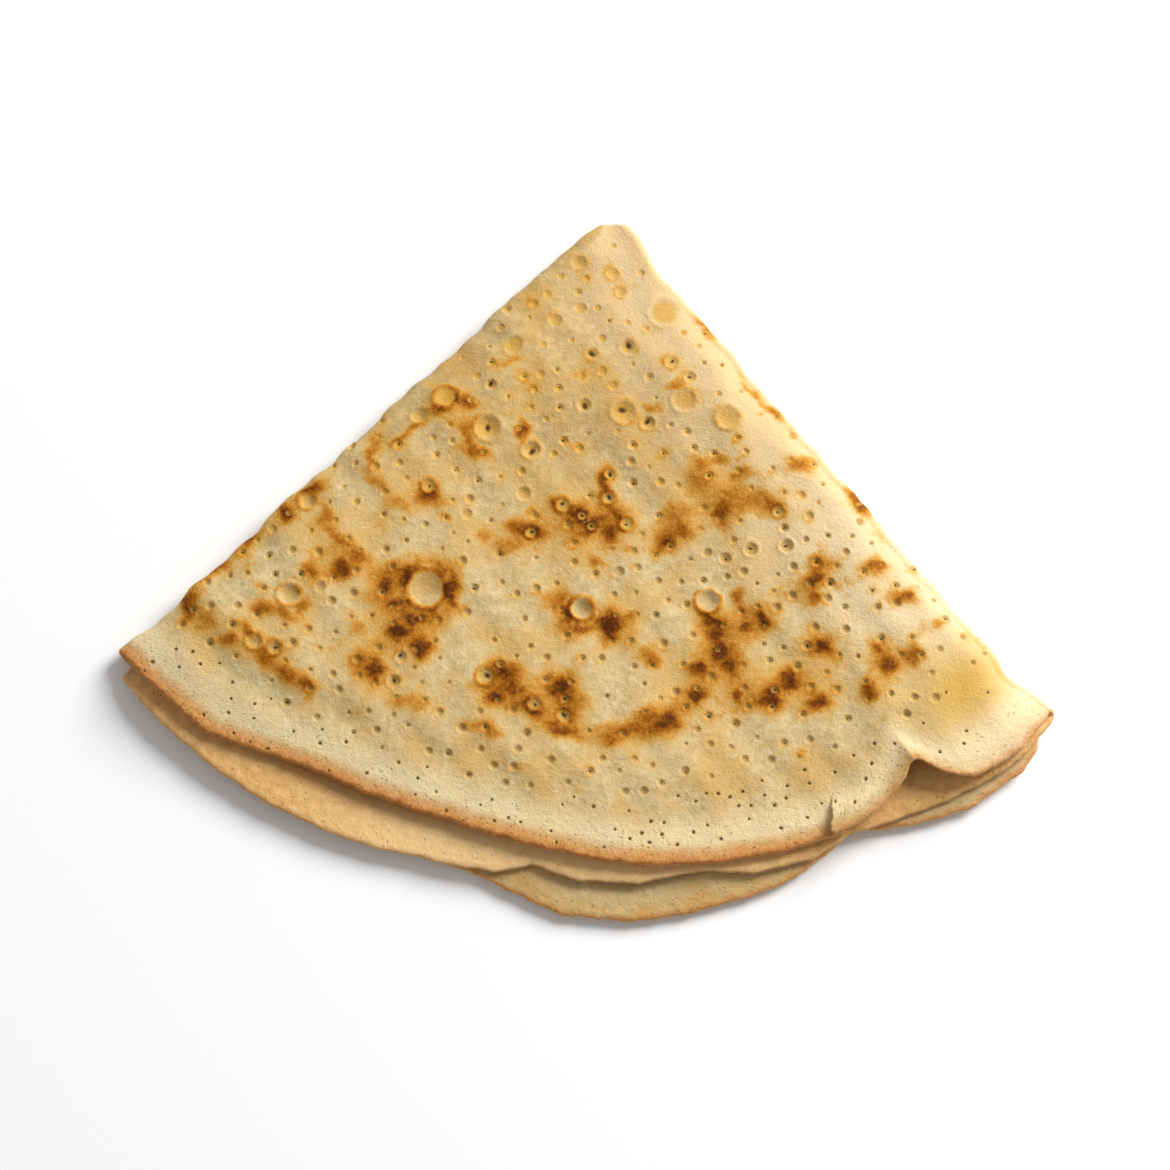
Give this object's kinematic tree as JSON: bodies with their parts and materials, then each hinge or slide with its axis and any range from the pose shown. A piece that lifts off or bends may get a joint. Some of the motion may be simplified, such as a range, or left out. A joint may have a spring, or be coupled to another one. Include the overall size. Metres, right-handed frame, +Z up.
{
  "type": "folded crepe",
  "caption": "Plain thin pancake, browned in spots, folded twice into a quarter wedge with a ruffled open rim, lying flat.",
  "frame": {"origin": "on the resting plane, under the middle of the crepe's bounding box", "axes": "+Z up from the resting plane, through the folded layers; +Y towards the folded point; +X to the right, along the width of the wedge, seen from the round edge"},
  "size_m": [0.1858, 0.1428, 0.0108],
  "materials": {
    "baked_batter": "matte, pale baked batter with toasted spots"
  },
  "bodies": {
    "root": {"crepe": "baked_batter"}
  },
  "joints": []
}
